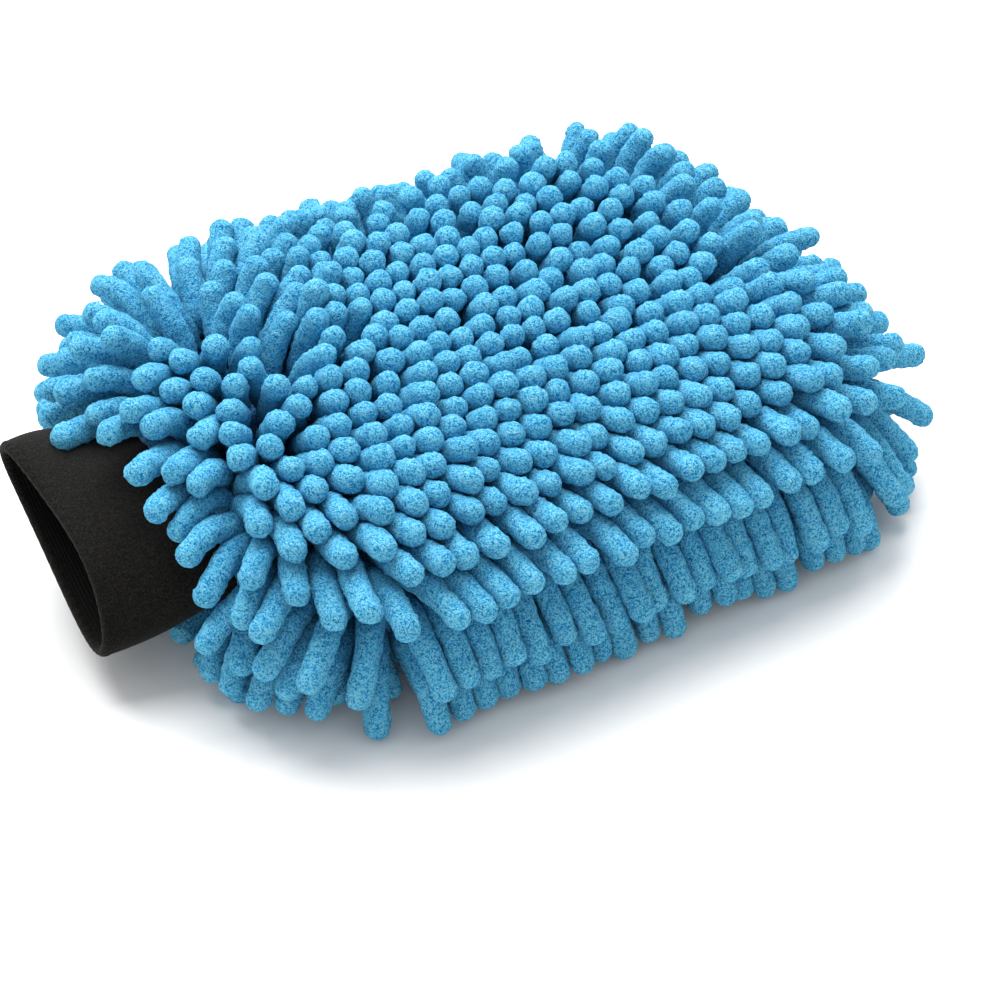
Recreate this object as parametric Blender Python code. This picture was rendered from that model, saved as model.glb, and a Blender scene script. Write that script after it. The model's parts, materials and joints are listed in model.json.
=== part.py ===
"""Chenille wash mitt: a pile-covered hand pocket with a doubled stretch cuff.

+X runs from the cuff's mouth to the finger end, +Y is the left side, +Z is up.
The mitt lies on its palm pile, whose tips are at z = 0.
"""
import math

import bpy
import bmesh
import numpy as np
from mathutils import Vector

# ---- driving dimensions, in metres ----
GAP = 0.0003                    # clearance between touching pieces

PALM_PILE = 0.018               # the palm's noodles, pressed over by the mitt's weight
BACK_PILE = 0.022               # the back's noodles, standing and leaning
BODY_HALF_HEIGHT = 0.017        # backing fabric above and below the edge seam
SEAM_Z = PALM_PILE + BODY_HALF_HEIGHT
TOP_Z = SEAM_Z + BODY_HALF_HEIGHT + BACK_PILE

BODY_START_X = -0.0945          # where the fabric is gathered into the neck
BODY_END_X = 0.115              # fabric edge at the finger end
NECK_HALF_WIDTH = 0.048
BODY_HALF_WIDTH = 0.080
SHOULDER_LENGTH = 0.030
CORNER_RADIUS = 0.034           # rounded corners of the finger end
END_ROUND = 0.018               # over which the finger end's fabric comes down to the seam
SECTION_POWER = 3.0             # superellipse power of the body's cross-section
OUTLINE_POINTS = 160            # along each of the outline's two sides
PANEL_ACROSS = 14               # facets across a panel
PANEL_STATIONS = 8              # sections of a panel's straight stretch
PANEL_END_STATIONS = 4          # sections over the finger end's round
SLOPE_STEP = 0.001              # over which the outline's slope is measured

BACKING_THICKNESS = 0.0009
LINING_THICKNESS = 0.0008
LINING_INSET = BACKING_THICKNESS + 0.0012
SEAM_HALF_THICKNESS = 0.0012
SEAM_ALLOWANCE = 0.006
SEAM_EVERY = 8                  # outline points from one corner of the seam to the next

ROW_PITCH = 0.0123              # from one lengthwise pile row to the next
ROWS_EACH_SIDE = 6
ROW_THICKNESS = 0.0082
ROW_MARGIN = 0.001              # kept to the sewn edges
ROW_END = 0.008                 # from the fabric's end to the rows' ends
ROW_STEP = 0.0005               # to which a row's length is rounded
FINGER_PITCH = 0.0195           # along a row; each finger stands for two noodles
FINGER_GAP = 0.0034             # left between two fingers
RAIL_DEPTH = 0.005              # the yarn loops that the fingers grow from
EDGE_PILE = 0.0225              # how far the edge noodles stand out from the fabric
CORNER_PILE = 0.0210            # the same at the rounded corners
SHOULDER_CLEARANCE = 0.004      # between the curved shoulder and its straight-backed comb
SHOULDER_FINGERS = (0.42, 0.82) # places along the shoulder, as shares of its length
SIDE_START = 0.004              # from the shoulder's end to the side's pile
SIDE_FINGERS = 7
CORNER_FINGERS = 4
END_FINGERS = 5
EDGE_TAPER = 0.62               # the edge pile's reach at its top or bottom, as a share
BACK_EDGE_HEIGHT = 0.0175
PALM_EDGE_HEIGHT = 0.0190
CROWN_REACH = 0.045             # the pile comes down towards the fabric's edge over this
BACK_CROWN_DROP = 0.013
PALM_CROWN_RISE = 0.0035
PALM_FLAT_REACH = 0.018

CUFF_MOUTH_X = -0.1375
CUFF_ROOT_X = -0.1015
CUFF_PIVOT_X = -0.100
CUFF_ROOT_HALF = (0.042, 0.0145)    # outer half width and half height at the seam
CUFF_MOUTH_HALF = (0.039, 0.0170)
CUFF_TWIST = math.radians(28.0)     # the mouth's right side lies lower
CUFF_WALL = 0.0010
CUFF_SPACE = 0.0012                 # between the two layers, where the elastic lies
CUFF_FOLD = 0.0028                  # the rolled fold's length along the cuff
CUFF_SEGMENTS = 28
CUFF_STATIONS = 9
ELASTIC_MARGIN = 2                  # stations at each end of the cuff without elastic
CUFF_SEAM_THICKNESS = 0.0010
CUFF_SEAM_HALF_ANGLE = math.radians(9.0)

NECK_SEAM_X = (-0.0995, -0.0950)
NECK_SEAM_HALF = (0.050, 0.0195)
NECK_SEAM_WALL = 0.0020

BLUE_PILE = (0.048, 0.300, 0.600)
BLUE_BACKING = (0.030, 0.190, 0.420)
BLACK_CUFF = (0.010, 0.009, 0.008)
BLACK_ELASTIC = (0.020, 0.020, 0.021)
GREY_LINING = (0.330, 0.340, 0.350)
BLUE_THREAD = (0.030, 0.150, 0.340)


def clear_scene():
    for item in list(bpy.data.objects):
        bpy.data.objects.remove(item, do_unlink=True)


def cloth_material(name, colour, roughness=0.95):
    material = bpy.data.materials.new(name)
    material.use_nodes = True
    shader = material.node_tree.nodes["Principled BSDF"]
    shader.inputs["Base Color"].default_value = (*colour, 1.0)
    shader.inputs["Roughness"].default_value = roughness
    shader.inputs["Metallic"].default_value = 0.0
    return material


def make_object(name, verts, faces, material, parent=None, smooth=True):
    """One closed mesh object, faces outward, with its origin on its parent's."""
    mesh = bpy.data.meshes.new(name)
    origin = parent.location if parent else Vector((0.0, 0.0, 0.0))
    mesh.from_pydata([Vector(v) - origin for v in verts], [], faces)
    shape = bmesh.new()
    shape.from_mesh(mesh)
    bmesh.ops.remove_doubles(shape, verts=shape.verts, dist=1e-6)
    bmesh.ops.recalc_face_normals(shape, faces=shape.faces)
    shape.to_mesh(mesh)
    shape.free()
    mesh.materials.append(material)
    if smooth:
        mesh.shade_smooth()
        mesh.set_sharp_from_angle(angle=math.radians(40.0))
    item = bpy.data.objects.new(name, mesh)
    bpy.context.collection.objects.link(item)
    item.parent = parent
    return item


# ---- the body's shape ----
def smoothstep(t):
    t = min(max(t, 0.0), 1.0)
    return t * t * (3.0 - 2.0 * t)


def half_width(x):
    """Half width of the flat fabric outline at x."""
    corner_x = BODY_END_X - CORNER_RADIUS
    if x > corner_x:
        along = min(x - corner_x, CORNER_RADIUS)
        return BODY_HALF_WIDTH - CORNER_RADIUS + math.sqrt(CORNER_RADIUS ** 2 - along ** 2)
    swell = smoothstep((x - BODY_START_X) / SHOULDER_LENGTH)
    return NECK_HALF_WIDTH + (BODY_HALF_WIDTH - NECK_HALF_WIDTH) * swell


def half_height(x):
    """Height of the backing fabric over the edge seam at x, on the middle line."""
    into_end = max(0.0, x - (BODY_END_X - END_ROUND)) / END_ROUND
    return BODY_HALF_HEIGHT * math.sqrt(max(0.0, 1.0 - into_end ** 2))


def fabric_height(x, y):
    """Height of the backing fabric over the edge seam anywhere on a panel."""
    across = min(abs(y) / half_width(x), 1.0)
    start = SEAM_HALF_THICKNESS + GAP + BACKING_THICKNESS
    rise = (1.0 - across ** SECTION_POWER) ** (1.0 / SECTION_POWER)
    return start + max(half_height(x) - start, 0.0) * rise


def outline_points():
    """Points round the fabric's three sewn edges, from the left neck to the right neck."""
    turns = np.linspace(0, math.pi / 2, OUTLINE_POINTS)
    xs = BODY_START_X + (BODY_END_X - BODY_START_X) * np.sin(turns)
    left = [(x, half_width(x)) for x in xs]
    right = [(x, -y) for x, y in reversed(left)]
    return np.array(left + right)


OUTLINE = outline_points()


def edge_distance(x, y):
    """How far a place on the panel is from the nearest sewn edge."""
    return float(np.min(np.hypot(OUTLINE[:, 0] - x, OUTLINE[:, 1] - y)))


def back_pile_top(x, y):
    near_edge = 1.0 - min(edge_distance(x, y) / CROWN_REACH, 1.0)
    return TOP_Z - BACK_CROWN_DROP * near_edge ** 2


def palm_pile_bottom(x, y):
    near_edge = 1.0 - min(edge_distance(x, y) / PALM_FLAT_REACH, 1.0)
    return PALM_CROWN_RISE * smoothstep(near_edge * 2.0)


# ---- fabric panels ----
def make_panel(name, side, inset, thickness, material):
    """One half of a bag: sections of superellipse arcs, thickened inwards.

    side is +1 for the back and -1 for the palm; inset moves the sheet into the bag.
    """
    start = SEAM_HALF_THICKNESS + GAP + thickness
    stations = list(np.linspace(BODY_START_X, BODY_END_X - END_ROUND, PANEL_STATIONS))
    stations += [BODY_END_X - END_ROUND * (1.0 - math.sin(t)) for t in
                 np.linspace(0, math.pi / 2, PANEL_END_STATIONS + 1)[1:]]
    verts = []
    for x in stations:
        width = half_width(x) - inset
        height = max(half_height(x) - inset - start, 0.0)
        sheet_x = x - inset * max(0.0, x - (BODY_END_X - END_ROUND)) / END_ROUND
        for angle in np.linspace(0.0, math.pi, PANEL_ACROSS + 1):
            c, s = math.cos(angle), max(math.sin(angle), 0.0)
            y = width * math.copysign(abs(c) ** (2.0 / SECTION_POWER), c)
            z = start + height * s ** (2.0 / SECTION_POWER)
            verts.append((sheet_x, y, SEAM_Z + side * z))
    ring = PANEL_ACROSS + 1
    faces = []
    for i in range(len(stations) - 1):
        for j in range(PANEL_ACROSS):
            a, b = i * ring + j, (i + 1) * ring + j
            face = (a, a + 1, b + 1, b)
            faces.append(face if side > 0 else face[::-1])
    panel = make_sheet(name, verts, faces, material)
    wall = panel.modifiers.new("fabric", "SOLIDIFY")
    wall.thickness = thickness
    wall.offset = -1.0
    wall.use_even_offset = True
    wall.thickness_clamp = 1.0
    return panel


def make_sheet(name, verts, faces, material):
    mesh = bpy.data.meshes.new(name)
    mesh.from_pydata(verts, [], faces)
    mesh.materials.append(material)
    mesh.shade_smooth()
    item = bpy.data.objects.new(name, mesh)
    bpy.context.collection.objects.link(item)
    return item


def make_edge_seam(name, material):
    """The U-shaped seam allowance that lies between the two panels' edges."""
    inner = []
    outer = []
    samples = OUTLINE[::SEAM_EVERY].tolist() + [OUTLINE[-1].tolist()]
    centre_line = [Vector((x, y)) for x, y in samples]
    for i, point in enumerate(centre_line):
        before = centre_line[max(i - 1, 0)]
        after = centre_line[min(i + 1, len(centre_line) - 1)]
        heading = (after - before).normalized()
        inward = Vector((heading.y, -heading.x))
        outer.append(point + inward * GAP)
        inner.append(point + inward * SEAM_ALLOWANCE)
    verts = []
    for level in (-SEAM_HALF_THICKNESS, SEAM_HALF_THICKNESS):
        for line in (outer, inner):
            verts += [(p.x, p.y, SEAM_Z + level) for p in line]
    return make_object(name, verts, band_faces(len(outer)), material)


def band_faces(count):
    """Faces of an open band whose four edge lines follow each other in the vertex list."""
    low_out, low_in, high_out, high_in = (i * count for i in range(4))
    faces = []
    for i in range(count - 1):
        faces.append((low_out + i, low_out + i + 1, low_in + i + 1, low_in + i))
        faces.append((high_out + i, high_in + i, high_in + i + 1, high_out + i + 1))
        faces.append((low_out + i, high_out + i, high_out + i + 1, low_out + i + 1))
        faces.append((low_in + i, low_in + i + 1, high_in + i + 1, high_in + i))
    for i in (0, count - 1):
        faces.append((low_out + i, low_in + i, high_in + i, high_out + i))
    return faces


# ---- pile ----
def gap_free_halves(points):
    """Half of what each point may take up along its line, with FINGER_GAP kept between."""
    spans = [(b - a).length for a, b in zip(points, points[1:])]
    near = [min(spans[max(i - 1, 0)], spans[min(i, len(spans) - 1)]) for i in range(len(points))]
    return [(span - FINGER_GAP) / 2 for span in near]


def make_comb(name, stations, thick, reach, material):
    """A pile row: a rail with a finger at each station, closed and solid.

    stations are (base point, outward direction, finger length); thick is the direction
    across the comb; reach is ((offset, share of finger length), ...) for its two sides.
    """
    points = [Vector(base) for base, _, _ in stations]
    tips = [Vector(base) + outward * length for base, outward, length in stations]
    base_halves, tip_halves = gap_free_halves(points), gap_free_halves(tips)
    curved = abs(stations[0][1].dot(stations[-1][1])) < 0.999
    last = len(stations) - 1
    outer, inner = [], []
    for i, (_, outward, length) in enumerate(stations):
        tangent = points[min(i + 1, last)] - points[max(i - 1, 0)]
        tangent = (tangent - outward * tangent.dot(outward)).normalized()
        half, tip_half = tangent * base_halves[i], tangent * tip_halves[i]
        outer.append((points[i] - half, outward, RAIL_DEPTH, 0.0))
        outer.append((points[i] - tip_half, outward, 0.0, length))
        outer.append((points[i] + tip_half, outward, 0.0, length))
        outer.append((points[i] + half, outward, RAIL_DEPTH, 0.0))
        if curved or i == 0:
            inner.append((points[i] - half, outward, 0.0, 0.0))
        if curved or i == last:
            inner.append((points[i] + half, outward, 0.0, 0.0))
    ring = outer + inner[::-1]
    verts = []
    for offset, share in reach:
        for base, outward, fixed, length in ring:
            verts.append(base + outward * (fixed + length * share) + thick * offset)
    size = len(ring)
    faces = [tuple(range(size)), tuple(range(2 * size - 1, size - 1, -1))]
    for i in range(size):
        j = (i + 1) % size
        faces.append((i, size + i, size + j, j))
    return make_object(name, verts, faces, material, smooth=False)


def row_span(y):
    """First and last x of a straight row, which runs a little out over the finger end."""
    wanted = abs(y) + ROW_THICKNESS / 2 + ROW_MARGIN
    xs = [x for x in np.arange(BODY_START_X + ROW_MARGIN, BODY_END_X - ROW_END, ROW_STEP)
          if half_width(x) > wanted]
    return xs[0], xs[-1]


def make_row(name, y, side, material):
    """One lengthwise row of the back (side +1) or the palm (side -1)."""
    first, last = row_span(y)
    fingers = round((last - first) / FINGER_PITCH)
    pitch = (last - first) / fingers
    inner_y = max(abs(y) - ROW_THICKNESS / 2, 0.0)
    base_z = SEAM_Z + side * (fabric_height(0.0, inner_y) + GAP)
    outward = Vector((0.0, 0.0, side))
    stations = []
    for i in range(fingers):
        x = first + (i + 0.5) * pitch
        tip_z = back_pile_top(x, y) if side > 0 else palm_pile_bottom(x, y)
        stations.append(((x, y, base_z), outward, abs(tip_z - base_z)))
    half = ROW_THICKNESS / 2
    return make_comb(name, stations, Vector((0, 1, 0)), ((-half, 1.0), (half, 1.0)), material)


def make_rows(material):
    for side, label in ((1, "back"), (-1, "palm")):
        for i in range(2 * ROWS_EACH_SIDE + 1):
            y = (i - ROWS_EACH_SIDE) * ROW_PITCH
            make_row(f"{label}_pile_row_{i + 1:02d}", y, side, material)


def straight_run(start, end, outward, count):
    """Finger bases spread evenly over a straight stretch of the fabric's edge."""
    start, end = Vector(start), Vector(end)
    return [(start.lerp(end, (i + 0.5) / count), Vector(outward)) for i in range(count)]


def corner_run(hand):
    """Finger bases round a corner of the finger end; hand is +1 left, -1 right."""
    centre_x = BODY_END_X - CORNER_RADIUS
    centre_y = hand * (BODY_HALF_WIDTH - CORNER_RADIUS)
    run = []
    for i in range(CORNER_FINGERS):
        angle = math.pi / 2 * (i + 0.5) / CORNER_FINGERS
        outward = Vector((math.cos(angle), hand * math.sin(angle), 0.0))
        base = Vector((centre_x, centre_y, 0.0)) + outward * CORNER_RADIUS
        run.append((base, outward))
    return run


def shoulder_run(hand):
    """Finger bases along a shoulder, from the neck to the side."""
    run = []
    for share in SHOULDER_FINGERS:
        x = BODY_START_X + SHOULDER_LENGTH * share
        slope = (half_width(x + SLOPE_STEP) - half_width(x - SLOPE_STEP)) / (2 * SLOPE_STEP)
        outward = Vector((-slope, hand, 0.0)).normalized()
        run.append((Vector((x, hand * half_width(x), 0.0)), outward))
    return run


def make_edge_pile(material):
    """The noodles that stand out round the edge, above and below the seam."""
    side_start = BODY_START_X + SHOULDER_LENGTH + SIDE_START
    side_end = BODY_END_X - CORNER_RADIUS
    side_y = BODY_HALF_WIDTH
    end_y = BODY_HALF_WIDTH - CORNER_RADIUS
    runs = {
        "left_side": straight_run((side_start, side_y, 0), (side_end, side_y, 0),
                                  (0, 1, 0), SIDE_FINGERS),
        "right_side": straight_run((side_start, -side_y, 0), (side_end, -side_y, 0),
                                   (0, -1, 0), SIDE_FINGERS),
        "finger_end": straight_run((BODY_END_X, end_y, 0), (BODY_END_X, -end_y, 0),
                                   (1, 0, 0), END_FINGERS),
        "left_corner": corner_run(1),
        "right_corner": corner_run(-1),
        "left_shoulder": shoulder_run(1),
        "right_shoulder": shoulder_run(-1),
    }
    levels = (("back", 1, BACK_EDGE_HEIGHT), ("palm", -1, PALM_EDGE_HEIGHT))
    for place, run in runs.items():
        for label, side, height in levels:
            clear = SHOULDER_CLEARANCE if "shoulder" in place else GAP
            reach = (CORNER_PILE if "corner" in place else EDGE_PILE) - clear
            height_offset = Vector((0.0, 0.0, SEAM_Z))
            stations = [(p + height_offset + n * clear, n, reach) for p, n in run]
            sides = ((side * GAP, 1.0), (side * height, EDGE_TAPER))
            make_comb(f"{place}_pile_{label}", stations, Vector((0, 0, 1)), sides, material)


# ---- cuff ----
def cuff_point(x, angle, inset):
    """A point of the cuff's wall, inset from its outer surface."""
    t = (x - CUFF_ROOT_X) / (CUFF_MOUTH_X - CUFF_ROOT_X)
    wide = CUFF_ROOT_HALF[0] + (CUFF_MOUTH_HALF[0] - CUFF_ROOT_HALF[0]) * t - inset
    high = CUFF_ROOT_HALF[1] + (CUFF_MOUTH_HALF[1] - CUFF_ROOT_HALF[1]) * t - inset
    twist = CUFF_TWIST * smoothstep(t)
    y, z = wide * math.cos(angle), high * math.sin(angle)
    return (x, y * math.cos(twist) - z * math.sin(twist),
            SEAM_Z + y * math.sin(twist) + z * math.cos(twist))


def neck_point(x, angle, inset):
    """A point of the gathered neck seam's ring."""
    return (x, (NECK_SEAM_HALF[0] - inset) * math.cos(angle),
            SEAM_Z + (NECK_SEAM_HALF[1] - inset) * math.sin(angle))


def make_tube(name, section, xs, outer, inner, material, parent=None, segments=CUFF_SEGMENTS):
    """A closed-ended tube wall between two insets, through the x stations."""
    angles = [2 * math.pi * i / segments for i in range(segments)]
    profile = [(x, outer) for x in xs] + [(x, inner) for x in reversed(xs)]
    verts = [section(x, angle, inset) for x, inset in profile for angle in angles]
    faces = []
    for i in range(len(profile)):
        k = (i + 1) % len(profile)
        for j in range(segments):
            n = (j + 1) % segments
            faces.append((i * segments + j, k * segments + j, k * segments + n, i * segments + n))
    return make_object(name, verts, faces, material, parent)


def make_cuff_seam(name, xs, inset, thickness, half_angle, material, parent):
    """The side seam: a narrow strip along the inside of the cuff's left end."""
    angles = (-half_angle, half_angle)
    verts = []
    for depth in (inset, inset + thickness):
        for angle in angles:
            verts += [cuff_point(x, angle, depth) for x in xs]
    return make_object(name, verts, band_faces(len(xs)), material, parent, smooth=False)


def make_cuff(knit, elastic, thread):
    pivot = bpy.data.objects.new("cuff_pivot", None)
    pivot.location = (CUFF_PIVOT_X, 0.0, SEAM_Z)
    bpy.context.collection.objects.link(pivot)

    inner_face = CUFF_WALL + CUFF_SPACE
    layer_end = CUFF_MOUTH_X + CUFF_FOLD + GAP
    xs = list(np.linspace(CUFF_ROOT_X, layer_end, CUFF_STATIONS))
    make_tube("cuff_outer_layer", cuff_point, xs, 0.0, CUFF_WALL, knit, pivot)
    make_tube("cuff_inner_layer", cuff_point, xs, inner_face, inner_face + CUFF_WALL, knit, pivot)

    fold_end = CUFF_MOUTH_X + CUFF_FOLD
    make_tube("cuff_mouth_fold", cuff_point, [fold_end, CUFF_MOUTH_X], 0.0,
              inner_face + CUFF_WALL, knit, pivot)

    # the band shares the layers' stations, so its facets stay parallel to theirs
    band = xs[ELASTIC_MARGIN:-ELASTIC_MARGIN]
    make_tube("cuff_elastic_band", cuff_point, band, CUFF_WALL + GAP,
              CUFF_WALL + CUFF_SPACE - GAP, elastic, pivot)

    seam_inset = inner_face + CUFF_WALL + GAP
    make_cuff_seam("cuff_side_seam", xs, seam_inset, CUFF_SEAM_THICKNESS, CUFF_SEAM_HALF_ANGLE,
                   thread, pivot)


def main():
    clear_scene()
    pile = cloth_material("blue_chenille", BLUE_PILE)
    backing = cloth_material("blue_backing_knit", BLUE_BACKING)
    lining = cloth_material("grey_lining_knit", GREY_LINING)
    knit = cloth_material("black_cuff_knit", BLACK_CUFF, 0.9)
    elastic = cloth_material("black_elastic", BLACK_ELASTIC, 0.8)
    thread = cloth_material("blue_thread", BLUE_THREAD, 0.7)

    for side, label in ((1, "back"), (-1, "palm")):
        make_panel(f"{label}_panel_backing", side, 0.0, BACKING_THICKNESS, backing)
        make_panel(f"{label}_pocket_lining", side, LINING_INSET, LINING_THICKNESS, lining)
    make_edge_seam("edge_seam_allowance", thread)
    make_tube("gathered_neck_seam", neck_point, list(NECK_SEAM_X), 0.0, NECK_SEAM_WALL, backing)
    make_rows(pile)
    make_edge_pile(pile)
    make_cuff(knit, elastic, thread)


main()
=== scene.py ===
import json
import math

import bmesh
import bpy
import numpy as np
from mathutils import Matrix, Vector, kdtree


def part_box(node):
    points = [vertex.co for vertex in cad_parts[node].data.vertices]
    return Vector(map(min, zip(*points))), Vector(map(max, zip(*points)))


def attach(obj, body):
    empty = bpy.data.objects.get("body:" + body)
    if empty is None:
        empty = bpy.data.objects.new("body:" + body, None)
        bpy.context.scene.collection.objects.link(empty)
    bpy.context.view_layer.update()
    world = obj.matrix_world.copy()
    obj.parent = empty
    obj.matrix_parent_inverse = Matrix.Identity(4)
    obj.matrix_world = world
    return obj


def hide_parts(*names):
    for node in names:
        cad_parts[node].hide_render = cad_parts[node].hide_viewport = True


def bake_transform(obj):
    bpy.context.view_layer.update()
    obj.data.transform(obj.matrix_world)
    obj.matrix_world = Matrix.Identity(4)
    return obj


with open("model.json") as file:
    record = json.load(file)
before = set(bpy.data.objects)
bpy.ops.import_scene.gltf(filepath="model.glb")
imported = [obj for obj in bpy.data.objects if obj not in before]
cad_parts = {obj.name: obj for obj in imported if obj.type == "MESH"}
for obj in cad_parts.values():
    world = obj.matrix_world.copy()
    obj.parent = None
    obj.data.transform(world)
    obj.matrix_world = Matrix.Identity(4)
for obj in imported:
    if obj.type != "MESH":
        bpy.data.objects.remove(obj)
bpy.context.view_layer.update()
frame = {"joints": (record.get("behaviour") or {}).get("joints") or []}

MM = 0.001
rng = np.random.default_rng(11)

# ---- the body, as the frame gives it ----
seam_low, seam_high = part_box("edge_seam_allowance")
back_low, back_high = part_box("back_panel_backing")
neck_low, neck_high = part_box("gathered_neck_seam")

SEAM_Z = (seam_low.z + seam_high.z) / 2
START_X, END_X = back_low.x, back_high.x
HALF_WIDTH = back_high.y
HALF_HEIGHT = back_high.z - SEAM_Z
NECK_HALF_WIDTH = neck_high.y - 2 * MM
SHOULDER = 30 * MM              # over which the outline swells from the neck
CORNER = 34 * MM                # radius of the finger end's corners
END_ROUND = 18 * MM             # over which the finger end comes down to the seam
POWER = 3.0                     # superellipse power of the body's cross-section
PIVOT_X = frame["joints"][0]["pos_m"][0]
MOUTH_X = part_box("cuff_mouth_fold")[0].x

# The bend at the cuff's seam: everything that crosses it turns over this stretch.
BEND_START = (PIVOT_X + 8 * MM, 0.0, SEAM_Z)

# ---- the noodles ----
RADIUS = 4.3 * MM
BACK_GRID = (9.1 * MM, 8.1 * MM)    # between noodles of a row, and between staggered rows
PALM_GRID = (9.8 * MM, 9.2 * MM)
ROW_ROOTS = 24                  # tried along a row, before the outline cuts them off
ROWS_EACH_SIDE = 6              # of the CAD rows
JITTER = 1.0 * MM               # of a root's place in its row
EDGE_LIFT, EDGE_TILT = 5.2 * MM, math.radians(24)   # of the edge's two levels off the seam
STANDING_LENGTH = 26 * MM       # of the noodles that stand upright in the pile
LYING_LENGTH = 33 * MM          # of those that lie over their neighbours
EDGE_LENGTH = 34 * MM
EDGE_COUNT = 70                 # noodles round the edge at each of its two levels
NECK_COUNT = 30                 # noodles round the gathered neck, which lie over the cuff
NECK_LENGTH = 30 * MM
PALM_LENGTH = 26 * MM
NODES = 8                       # points of each noodle's chain
AROUND, ALONG = 16, 34          # vertices of each noodle's skin
TIP_RINGS = 10                  # of those, in its rounded tip
SETTLE_STEPS, QUICK_STEPS = 260, 40


def smoothstep(t):
    t = np.clip(t, 0.0, 1.0)
    return t * t * (3.0 - 2.0 * t)


def unit(v):
    return v / np.maximum(np.linalg.norm(v, axis=-1, keepdims=True), 1e-12)


def half_width(x):
    """Half width of the flat fabric outline at x."""
    swell = smoothstep((x - START_X) / SHOULDER)
    width = NECK_HALF_WIDTH + (HALF_WIDTH - NECK_HALF_WIDTH) * swell
    into = np.clip(x - (END_X - CORNER), 0.0, CORNER)
    return width - CORNER + np.sqrt(CORNER ** 2 - into ** 2)


def half_height(x):
    into = np.clip((x - (END_X - END_ROUND)) / END_ROUND, 0.0, 1.0)
    return HALF_HEIGHT * np.sqrt(1.0 - into ** 2)


def fabric_height(x, y):
    """Height of the backing over the edge seam."""
    across = np.clip(np.abs(y) / half_width(x), 0.0, 1.0)
    return half_height(x) * (1.0 - across ** POWER) ** (1.0 / POWER)


def panel_normals(x, y, side):
    """Unit normals of a panel's fabric; side is +1 for the back and -1 for the palm."""
    step = 0.4 * MM
    dx = (fabric_height(x + step, y) - fabric_height(x - step, y)) / (2 * step)
    dy = (fabric_height(x, y + step) - fabric_height(x, y - step)) / (2 * step)
    return unit(np.stack([-dx, -dy, np.ones_like(dx)], -1)) * np.array([1.0, 1.0, side])


# ---- where the noodles are rooted ----
def row_roots():
    """Roots of the back and palm noodles: (points, normals, side, node name) lists.

    They stand in staggered rows along the mitt. Each belongs to the nearest CAD row."""
    low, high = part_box("back_pile_row_08")
    node_pitch = (low.y + high.y) / 2
    found = {}
    for side, label, (along, across) in ((1.0, "back", BACK_GRID), (-1.0, "palm", PALM_GRID)):
        rows = int((HALF_WIDTH - 5 * MM) / across)
        for row in range(-rows, rows + 1):
            x = START_X + 2 * MM + np.arange(0.5 * (row % 2), ROW_ROOTS) * along
            y = row * across + rng.normal(0, JITTER, len(x))
            x = x + rng.normal(0, JITTER, len(x))
            inside = (half_width(x) > np.abs(y) + 4 * MM) & (x < END_X - 1.5 * MM)
            x, y = x[inside], y[inside]
            number = np.clip(round(row * across / node_pitch), -ROWS_EACH_SIDE, ROWS_EACH_SIDE)
            points = np.stack([x, y, SEAM_Z + side * fabric_height(x, y)], -1)
            key = (f"{label}_pile_row_{int(number) + ROWS_EACH_SIDE + 1:02d}", side)
            found.setdefault(key, []).append((points, panel_normals(x, y, side)))
    return [(np.concatenate([g[0] for g in groups]), np.concatenate([g[1] for g in groups]),
             side, node) for (node, side), groups in found.items()]


def outline(count):
    """Points evenly spaced round the sewn edge, left neck to right neck, with normals."""
    t = np.linspace(0, 1, 4000)
    xs = START_X + (END_X - START_X) * np.sin(t * math.pi / 2)
    left = np.stack([xs, half_width(xs)], -1)
    ring = np.concatenate([left, (left * [1, -1])[::-1]])
    run = np.concatenate([[0], np.cumsum(np.linalg.norm(np.diff(ring, axis=0), axis=1))])
    at = (np.arange(count) + 0.5) / count * run[-1]
    point = np.stack([np.interp(at, run, ring[:, i]) for i in range(2)], -1)
    ahead = np.stack([np.interp(at + MM, run, ring[:, i]) for i in range(2)], -1)
    behind = np.stack([np.interp(at - MM, run, ring[:, i]) for i in range(2)], -1)
    heading = unit(ahead - behind)
    return point, np.stack([-heading[:, 1], heading[:, 0]], -1)


def edge_node(x, y, label):
    """The CAD edge node that a root on the outline belongs to."""
    if x > END_X - CORNER and abs(y) < HALF_WIDTH - CORNER:
        return f"finger_end_pile_{label}"
    place = "corner" if x > END_X - CORNER else "shoulder" if x < START_X + SHOULDER else "side"
    return f"{'left' if y > 0 else 'right'}_{place}_pile_{label}"


def edge_roots():
    """Roots of the edge noodles, at two levels, in lists like those of row_roots."""
    found = {}
    c, s = math.cos(EDGE_TILT), math.sin(EDGE_TILT)
    for side, label in ((1.0, "back"), (-1.0, "palm")):
        points, normals = outline(EDGE_COUNT)
        for (x, y), (nx, ny) in zip(points, normals):
            node = edge_node(x, y, label)
            root = [x - nx * MM, y - ny * MM, SEAM_Z + side * EDGE_LIFT]
            found.setdefault((node, side), []).append((root, [nx * c, ny * c, side * s]))
    return [(np.array([r[0] for r in roots]), np.array([r[1] for r in roots]), side, node)
            for (node, side), roots in found.items()]


def neck_roots():
    """Roots round the gathered neck, of the noodles that lie over the cuff."""
    angle = (np.arange(NECK_COUNT) + 0.5) / NECK_COUNT * 2 * math.pi
    c, s = np.cos(angle), np.sin(angle)
    x = START_X + 2 * MM + rng.uniform(0, 4 * MM, NECK_COUNT)
    wide, high = half_width(x) - MM, HALF_HEIGHT - 0.5 * MM
    y = wide * np.sign(c) * np.abs(c) ** (2 / POWER)
    z = high * np.sign(s) * np.abs(s) ** (2 / POWER)
    normals = unit(np.stack([-0.5 + 0 * c, c, 1.4 * s], -1))
    return np.stack([x, y, SEAM_Z + z], -1), normals


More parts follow.
